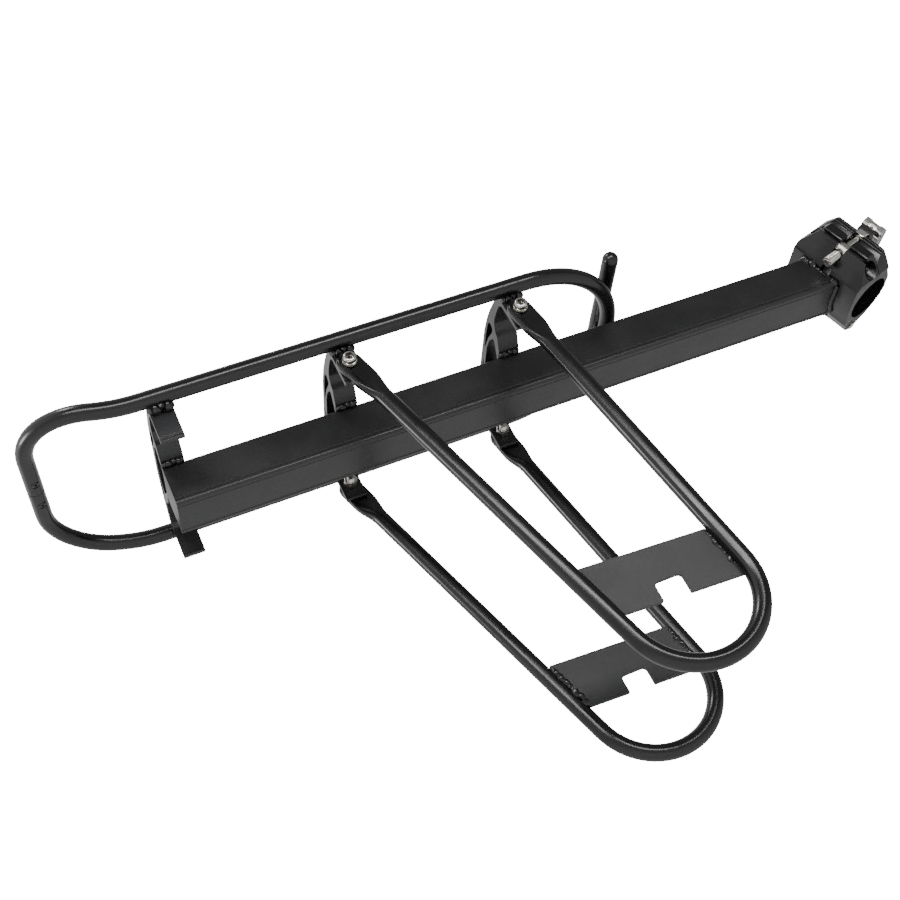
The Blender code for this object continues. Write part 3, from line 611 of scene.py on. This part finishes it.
def make_deck():
    route = deck_route()
    radii = [TUBE_R] * len(route)
    radii[0] = radii[-1] = TUBE_R - 0.35
    mesh = loft("deck_loop_tube", sweep_rings(route, radii, 28))
    for name in ("left_joint_screw", "right_joint_screw"):
        centre = middle(name)
        turn = Matrix.Rotation(SCREW_TURN, 4, "Y")
        spot = Matrix.Translation(Vector((route[0][0], centre.y, route[0][2])) * MM) @ turn
        dimple = turned("dimple", [(0.0, 3.6), (2.7, 4.4), (3.4, 6.5), (0.0, 6.5)], 32)
        dimple.transform(spot)
        mesh = combined(mesh, dimple)
        head = [(0.0, 5.15), (1.5, 5.05), (2.1, 4.75), (2.35, 4.3), (2.35, 3.9), (0.0, 3.9)]
        screw = turned(name + "_head", head, 32)
        slot_cut = turned("hex_key", [(0.0, 4.5), (0.8, 4.5), (0.8, 7.0), (0.0, 7.0)], 6)
        head_piece = piece(name + "_head", combined(screw, slot_cut), "tube_paint", "rack",
                           [name], spot)
    piece("deck_loop_tube", mesh, "tube_paint", "rack", ["deck_loop", "deck_joint_plug"])

    half = span("left_stop_cap")[1].y
    frame_y = shift(STOP.x, 0.0, STOP.z) @ TO_Y
    profile = [(0.0, -half)] + [(TUBE_R * sin(a), -half + TUBE_R - TUBE_R * cos(a))
                                for a in [radians(10 * k) for k in range(1, 10)]]
    joint = half - TUBE_R
    profile += [(TUBE_R, -joint + 0.1), (TUBE_R - 0.25, -joint + 0.2), (TUBE_R, -joint + 0.3)]
    profile += [(r, -z) for r, z in reversed(profile)]
    piece("luggage_stop_tube", turned("luggage_stop_tube", profile), "tube_paint", "rack",
          ["luggage_stop_bar", "left_stop_cap", "right_stop_cap"], frame_y)
    for side in (-1, 1):
        for ahead in (-3.2, 3.2):
            weld("stop_weld_%s_%s" % ("left" if side > 0 else "right", "a" if ahead < 0 else "b"),
                 [(STOP.x + ahead, side * 18.0, STOP.z - TUBE_R + 1.6),
                  (STOP.x + ahead, side * 4, STOP.z - TUBE_R + 1.0)], 3.0)


# ---------------------------------------------------------------- brackets

def make_brackets():
    foot = BEAM_HIGH.z + GAP
    side = [(19.0, CROWN_Z), (32.0, 29.6), (42.0, 27.3), (50.0, 24.8), (57.0, 22.4),
            (FLANGE_OUT, 20.4), (FLANGE_OUT, FLANGE_BOTTOM + 3.0),
            (FLANGE_OUT - 0.6, FLANGE_BOTTOM + 2.6), (FLANGE_OUT - 0.6, FLANGE_BOTTOM + 1.9),
            (FLANGE_OUT, FLANGE_BOTTOM + 1.5), (FLANGE_OUT, FLANGE_BOTTOM),
            (FLANGE_IN, FLANGE_BOTTOM),
            (FLANGE_IN, 14.2), (55.6, 17.0), (50.4, 18.6), (41.0, 20.4), (36.2, 20.2),
            (31.5, 17.8), (29.6, 14.6), (19.6, foot), (11.0, foot), (22.6, 17.4),
            (23.4, 19.2), (16.5, 23.4), (8.0, 25.3)]
    slot = [(5.0, 28.2), (18.0, 28.3), (28.6, 27.4), (31.2, 26.0), (31.6, 23.6), (29.4, 21.2),
            (26.6, 21.4), (17.6, 25.1), (9.0, 27.0)]
    holes = [rounded(slot, 1.0, 3), rounded([(-y, z) for y, z in slot], 1.0, 3)]
    for name, x in BRACKETS.items():
        outline = rounded(mirrored(side), 1.1, 3)
        mesh = slab(name + "_extrusion", outline, BRACKET_HALF, holes)
        mesh.transform(shift(x, 0.0, 0.0) @ ACROSS)
        if name != "rear_bracket":
            mesh = combined(mesh, bolt_hole(x))
        eased(piece(name + "_extrusion", mesh, "black_anodised", "rack", [name], angle=30.0), 0.25)
        for word, s in (("left", 1), ("right", -1)):
            size, out, low = (7.6, 63.0, 14.8) if name == "rear_bracket" else (6.4, 62.4, 15.4)
            run = [(x - 6.9, s * out, low), (x + 6.9, s * out, low)]
            weld("%s_%s_rail_weld" % (word, name), run, size, pitch=3.3, swell=0.42, uneven=0.5)
            inner = [(x - 6.2, s * 60.2, 22.2), (x + 6.2, s * 60.2, 22.2)]
            weld("%s_%s_top_weld" % (word, name), inner, 4.0, pitch=2.8, swell=0.34, uneven=0.5)
            sole = [(x - 6.6, s * 17.6, foot - 0.6), (x + 6.6, s * 17.6, foot - 0.6)]
            weld("%s_%s_foot_weld" % (word, name), sole, 4.4, pitch=2.9, swell=0.34, uneven=0.6)


# ---------------------------------------------------------------- guards

def leg_point(bolt_x, angle, distance):
    return (bolt_x + distance * sin(angle), BOLT_Z - distance * cos(angle))


def guard_y(z):
    top = BOLT_Z - SPADE_LENGTH
    return SPADE_Y - LOOP_LEAN * max(0.0, top - z) / (LOOP_DROP - SPADE_LENGTH)


def fade(t):
    t = max(0.0, min(1.0, t))
    return t * t * (3 - 2 * t)


def guard_stations():
    """(x, z, flatness, width factor) down one leg, round the bend and up the other."""
    def spade(bolt_x, angle):
        tip = SPADE_HALF_WIDTH
        run = [(-tip * cos(a), 1.0, sin(a)) for a in [radians(d) for d in range(6, 90, 10)]]
        run += [(d, 1.0, 1.0) for d in (0.0, 4.0, 9.0, SPADE_LENGTH)]
        run += [(SPADE_LENGTH + SPADE_FADE * i / 10, 1.0 - fade(i / 10), 1.0)
                for i in range(1, 11)]
        run += [(80.0, 0.0, 1.0), (140.0, 0.0, 1.0)]
        return [(*leg_point(bolt_x, angle, d), flat, w) for d, flat, w in run]

    start = 180 + REAR_LEG * 180 / pi
    end = 360 + FRONT_LEG * 180 / pi
    bend = [(x, z, 0.0, 1.0) for x, z in arc(LOOP_CENTRE, LOOP_BEND, start, end, 36)]
    return spade(REAR_BOLT_X, REAR_LEG) + bend + spade(FRONT_BOLT_X, FRONT_LEG)[::-1]


def guard_ring(centre, along, flat, width, side):
    """Round tube where flat is 0; a flattened bar with a raised rear edge where it is 1."""
    sides = 32
    inboard = Vector((0.0, -side, 0.0))
    inboard = (inboard - along * inboard.dot(along)).normalized()
    across = along.cross(inboard)
    rear = -1.0 if across.x > 0 else 1.0
    half_wide = (TUBE_R + (SPADE_HALF_WIDTH - TUBE_R) * flat) * width
    half_thick = TUBE_R + (SPADE_HALF_THICK - TUBE_R) * flat
    power = 1.0 - 0.55 * flat
    ring = []
    for i in range(sides):
        a = 2 * pi * (i + 0.5) / sides
        wide = half_wide * abs(cos(a)) ** power * (1 if cos(a) > 0 else -1)
        thick = half_thick * abs(sin(a)) ** power * (1 if sin(a) > 0 else -1)
        if sin(a) < 0:
            edge = fade((wide * rear - half_wide * 0.42) / (half_wide * 0.3))
            groove = fade(1 - abs(wide * rear - half_wide * 0.36) / (half_wide * 0.2))
            thick -= (1.7 * edge - 0.5 * groove) * flat * abs(sin(a)) ** 0.3 * width
        ring.append(centre + across * wide + inboard * thick)
    return ring


def make_guard_loop(word, side):
    stations = guard_stations()
    points = [Vector((x, side * guard_y(z), z)) for x, z, flat, width in stations]
    rings = []
    for i, (x, z, flat, width) in enumerate(stations):
        ahead = points[min(len(points) - 1, i + 1)]
        along = (ahead - points[max(0, i - 1)]).normalized()
        rings.append(guard_ring(points[i], along, flat, width, side))
    mesh = loft(word + "_guard_tube", rings)
    for x in (REAR_BOLT_X, FRONT_BOLT_X):
        mesh = combined(mesh, bolt_hole(x))
    piece(word + "_guard_tube", mesh, "tube_paint", "rack", [word + "_guard_loop"], angle=50.0)


def plate_outline():
    """The guard plate in (x, z), along its top from the rear and back along its notched edge."""
    def rear(z):
        return REAR_BOLT_X + (BOLT_Z - z) * tan(REAR_LEG) + PLATE_EDGE / cos(REAR_LEG)

    def front(z):
        return FRONT_BOLT_X + (BOLT_Z - z) * tan(FRONT_LEG) - PLATE_EDGE / cos(FRONT_LEG)

    def bottom_z(x):
        low_rear = rear(PLATE_BOTTOM_REAR_Z)
        reach = (x - low_rear) / (front(PLATE_BOTTOM_FRONT_Z) - low_rear)
        return PLATE_BOTTOM_REAR_Z + (PLATE_BOTTOM_FRONT_Z - PLATE_BOTTOM_REAR_Z) * reach

    turn_z = NOTCH_TOP_Z - NOTCH_CORNER
    notch = arc((NOTCH_FRONT_X - NOTCH_CORNER, turn_z), NOTCH_CORNER, 0, 90, 8)
    notch += arc((NOTCH_REAR_X + NOTCH_CORNER, turn_z), NOTCH_CORNER, 90, 180, 8)
    return [
        (rear(PLATE_TOP_REAR_Z), PLATE_TOP_REAR_Z),
        (front(PLATE_TOP_FRONT_Z), PLATE_TOP_FRONT_Z),
        (front(PLATE_BOTTOM_FRONT_Z) + 0.4, PLATE_BOTTOM_FRONT_Z),
        (NOTCH_FRONT_X, bottom_z(NOTCH_FRONT_X)), *notch,
        (NOTCH_REAR_X, bottom_z(NOTCH_REAR_X)),
        (rear(PLATE_BOTTOM_REAR_Z), PLATE_BOTTOM_REAR_Z),
    ]


def make_guards():
    lean = atan2(LOOP_LEAN, LOOP_DROP - SPADE_LENGTH)
    for word, side in (("right", -1), ("left", 1)):
        make_guard_loop(word, side)
        out = side * (guard_y(PLATE_MIDDLE_Z) - PLATE_INBOARD)
        turn = shift(0.0, out, PLATE_MIDDLE_Z) @ Matrix.Rotation(side * -lean, 4, "X") @ ALONG
        outline = rounded([(x, z - PLATE_MIDDLE_Z) for x, z in plate_outline()], 0.6, 2)
        mesh = slab(word + "_guard_sheet", outline, PLATE_HALF_THICK)
        eased(piece(word + "_guard_sheet", mesh, "sheet_paint", "rack", [word + "_guard_plate"],
                    turn, angle=30.0), 0.2)
        for where, bolt_x, angle, sign, low, high in (
                ("rear", REAR_BOLT_X, REAR_LEG, 1, -191.5, -161.0),
                ("front", FRONT_BOLT_X, FRONT_LEG, -1, -191.0, -165.0)):
            run = []
            for z in (high, (low + high) / 2, low):
                x = bolt_x + (BOLT_Z - z) * tan(angle) + sign * (PLATE_EDGE + 0.2) / cos(angle)
                run.append((x, side * (guard_y(z) - PLATE_INBOARD), z))
            weld("%s_%s_plate_weld" % (word, where), run, 4.5, pitch=3.9, swell=0.36,
                 uneven=1.0)


# ---------------------------------------------------------------- fasteners

# (radius, height) round a guard bolt's head, above its underside.
HEAD_PROFILE = [(0.0, 4.0), (3.0, 4.0), (3.5, 3.7), (3.8, 3.2), (3.8, 0.3), (3.6, 0.0), (0.0, 0.0)]
GUARD_BOLT_R = 2.5
GUARD_BOLT_END = 50.3                  # how near the rack's middle the bolts reach
NUT_HIGH = 4.4
NUT_CORNER_R = 4.62


def threaded(name, radius, pitch, low, high, tip=0.6):
    """A rod with a helical thread, slimmer over the last tip of each end."""
    sides = 32
    steps = int((high - low) / pitch * 6)
    rings = []
    for i in range(steps + 1):
        z = low + (high - low) * i / steps
        ends = min(1.0, 0.8 + 0.2 * min(z - low, high - z) / tip)
        ring = []
        for k in range(sides):
            phase = (z / pitch - k / sides) % 1.0
            depth = 0.61 * pitch * abs(2 * phase - 1)
            r = (radius - 0.8 * depth) * ends
            ring.append((r * cos(2 * pi * k / sides), r * sin(2 * pi * k / sides), z))
        rings.append(ring)
    return loft(name, rings)


def make_guard_fasteners():
    washer_low = SPADE_Y + SPADE_HALF_THICK + 0.2
    head_low = washer_low + 1.2
    nut_high = FLANGE_IN - GAP
    head = [(r, head_low + z) for r, z in HEAD_PROFILE]
    for row, x in (("rear", REAR_BOLT_X), ("front", FRONT_BOLT_X)):
        for word, side in (("right", -1), ("left", 1)):
            label = word + "_" + row
            turn = shift(x, 0.0, BOLT_Z) @ Matrix.Rotation(radians(-90 * side), 4, "X")
            cap = combined(turned("cap", head), bar(2.4, head_low + 1.2, 90.0, 6))
            shank = threaded("shank", GUARD_BOLT_R, 0.8, GUARD_BOLT_END, head_low + 0.4)
            bolt = combined(cap, shank, "UNION")
            piece(label + "_socket_screw", bolt, "bright_steel", "rack", [label + "_guard_bolt"],
                  turn)
            # A dark disc at the socket's bottom is painted shade that makes the socket read as
            # deep; it belongs to the steel bolt.
            floor = turned("floor", [(0.0, head_low + 1.1), (2.35, head_low + 1.1),
                                     (2.0, head_low + 1.5), (0.0, head_low + 1.45)], 6)
            piece(label + "_socket_painted_shade", floor, "tube_paint", "rack", [], turn)

            ring = []
            for k in range(49):
                a = radians(8 + 344 * k / 48)
                lift = 0.35 * (k / 48 - 0.5)
                corners = ((2.8, -0.4), (4.3, -0.4), (4.3, 0.4), (2.8, 0.4))
                ring.append([(r * cos(a), r * sin(a), washer_low + 0.5 + lift + h)
                             for r, h in corners])
            piece(label + "_split_washer", loft("split_washer", ring), "bright_steel", "rack",
                  [label + "_spring_washer"], turn)

            low = nut_high - NUT_HIGH
            barrel = [(0.0, low), (3.9, low), (4.65, low + 0.5), (4.65, nut_high - 0.5),
                      (3.9, nut_high), (0.0, nut_high)]
            nut = combined(bar(NUT_CORNER_R, low, nut_high, 6), turned("barrel", barrel),
                           "INTERSECT")
            nut = combined(nut, bar(2.62, low - 5, nut_high + 5, 32))
            piece(label + "_hex_nut", nut, "bright_steel", "rack", [label + "_guard_nut"], turn)


# ---------------------------------------------------------------- carried-over solids

def reworked(node_name, cutters):
    """A copy of a carried-over solid where it stands, after cuts made in the clamp's axes."""
    source = frame["nodes"][node_name]
    mesh = source.data.copy()
    mesh.transform(source.matrix_world)
    for cutter in cutters:
        cutter.transform(CLAMP_FRAME)
        mesh = combined(mesh, cutter)
    return mesh


def make_clamp():
    """The two castings with their fine grooves, the bolt's thread, and the cam washer."""
    grooves = [slab("groove", [(u - 0.9, v - 1.0), (u + 0.9, v - 1.0), (u, v + 0.7)], 30.0)
               for u, v in ((7.4, -31.35), (9.6, -31.95))]
    gate = piece("clamp_gate_casting", reworked("clamp_gate", grooves), "clamp_anodised", "gate",
                 ["clamp_gate"])
    eased(gate, 0.35)

    step = [(-9.4, -33.0), (-8.2, -31.6), (-6.6, -31.9), (-5.9, -35.0), (-9.4, -35.0)]
    cutters = [slab("step", step, 30.0)]
    for low, high in ((BARREL_POCKET_W, 40.0), (-40.0, -BARREL_POCKET_W)):
        cutters.append(bar(BARREL_POCKET_R, low, high, 40, shift(*BARREL, 0.0)))
    base = piece("clamp_base_casting", reworked("clamp_base", cutters), "clamp_anodised", "rack",
                 ["clamp_base"])
    eased(base, 0.35)

    def block(low, high):
        """A cutter that takes away the washer between two places in U."""
        outline = [(low, -40.0), (high, -40.0), (high, -10.0), (low, -10.0)]
        return slab("block", outline, 20.0)

    tail = CLAMP_FRAME @ shift(*BARREL, 0.0) @ Matrix.Rotation(radians(90), 4, "Y")
    piece("swing_bolt_thread", threaded("swing_bolt_thread", 3.25, 1.0, -17.3, -5.2, tip=1.0),
          "bright_steel", "swing_bolt", [], tail)

    saddle = piece("cam_washer_saddle",
                   reworked("cam_washer", [block(-10.0, SADDLE_BACK_U - 0.05)]),
                   "black_plastic", "swing_bolt", ["cam_washer"])
    eased(saddle, 0.5)
    prongs = piece("cam_washer_prongs",
                   reworked("cam_washer", [block(SADDLE_BACK_U + 0.05, 40.0)]),
                   "chrome", "swing_bolt")
    eased(prongs, 0.3)


def dress():
    """The solids that keep their shape get their finish and a small rounding of their edges."""
    edges = {"chrome": 0.7, "bright_steel": 0.15, "black_plastic": 0.4}
    slots = {p["node"]: p["material_slot"] for p in frame["record"]["subparts"]}
    for name, thing in frame["nodes"].items():
        if thing.hide_render:
            continue
        slot = slots[name]
        thing.data.materials.clear()
        thing.data.materials.append(MATERIALS[slot])
        eased(thing, edges[slot])


make_beam()
make_deck()
make_brackets()
make_guards()
make_guard_fasteners()
make_clamp()
dress()
add_floor()
